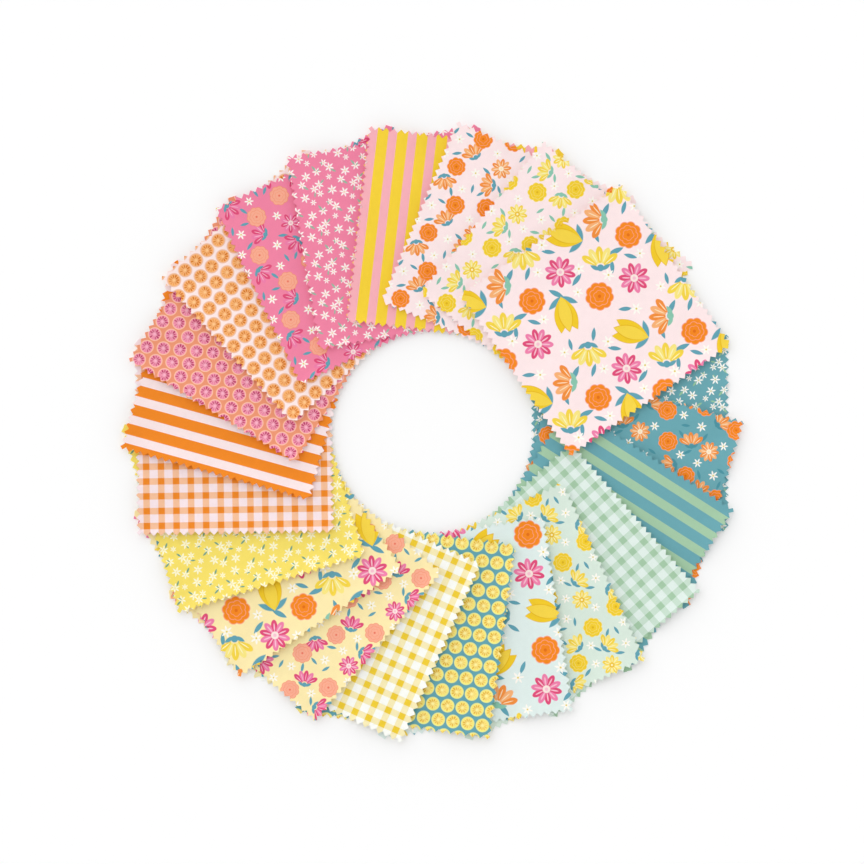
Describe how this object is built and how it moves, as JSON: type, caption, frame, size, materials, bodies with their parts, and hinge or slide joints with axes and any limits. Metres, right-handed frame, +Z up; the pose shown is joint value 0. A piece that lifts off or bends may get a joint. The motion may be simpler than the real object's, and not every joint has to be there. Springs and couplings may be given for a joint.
{
  "type": "fanned stack of fabric squares",
  "caption": "Printed cotton squares with pinked edges, laid over one another in a flat ring-shaped fan.",
  "frame": {"origin": "bottom centre of the bounding box, in the open middle of the ring, on the surface that the squares lie on", "axes": "+Z up, away from the surface; +X towards the lowest square, so that seen from above the squares run clockwise from +X, each over the last"},
  "size_m": [0.8028, 0.8002, 0.0142],
  "materials": {
    "teal_flower": "plain-weave printed cotton, matt",
    "teal_sprig": "plain-weave printed cotton, matt",
    "green_stripe": "plain-weave printed cotton, matt",
    "green_gingham": "plain-weave printed cotton, matt",
    "mint_sprig": "plain-weave printed cotton, matt",
    "mint_posy": "plain-weave printed cotton, matt",
    "teal_dot": "plain-weave printed cotton, matt",
    "yellow_gingham": "plain-weave printed cotton, matt",
    "lemon_sprig": "plain-weave printed cotton, matt",
    "lemon_posy": "plain-weave printed cotton, matt",
    "yellow_flower": "plain-weave printed cotton, matt",
    "orange_gingham": "plain-weave printed cotton, matt",
    "orange_stripe": "plain-weave printed cotton, matt",
    "coral_dot": "plain-weave printed cotton, matt",
    "orange_dot": "plain-weave printed cotton, matt",
    "rose_sprig": "plain-weave printed cotton, matt",
    "rose_flower": "plain-weave printed cotton, matt",
    "yellow_stripe": "plain-weave printed cotton, matt",
    "blush_orange": "plain-weave printed cotton, matt",
    "blush_lemon": "plain-weave printed cotton, matt",
    "blush_posy": "plain-weave printed cotton, matt"
  },
  "bodies": {
    "root": {"square_01_teal_flower": "teal_flower", "square_02_teal_sprig": "teal_sprig", "square_03_green_stripe": "green_stripe", "square_04_green_gingham": "green_gingham", "square_05_mint_sprig": "mint_sprig", "square_06_mint_posy": "mint_posy", "square_07_teal_dot": "teal_dot", "square_08_yellow_gingham": "yellow_gingham", "square_09_lemon_sprig": "lemon_sprig", "square_10_lemon_posy": "lemon_posy", "square_11_yellow_flower": "yellow_flower", "square_12_orange_gingham": "orange_gingham", "square_13_orange_stripe": "orange_stripe", "square_14_coral_dot": "coral_dot", "square_15_orange_dot": "orange_dot", "square_16_rose_sprig": "rose_sprig", "square_17_rose_flower": "rose_flower", "square_18_yellow_stripe": "yellow_stripe", "square_19_blush_orange": "blush_orange", "square_20_blush_lemon": "blush_lemon", "square_21_blush_posy": "blush_posy"}
  },
  "joints": []
}
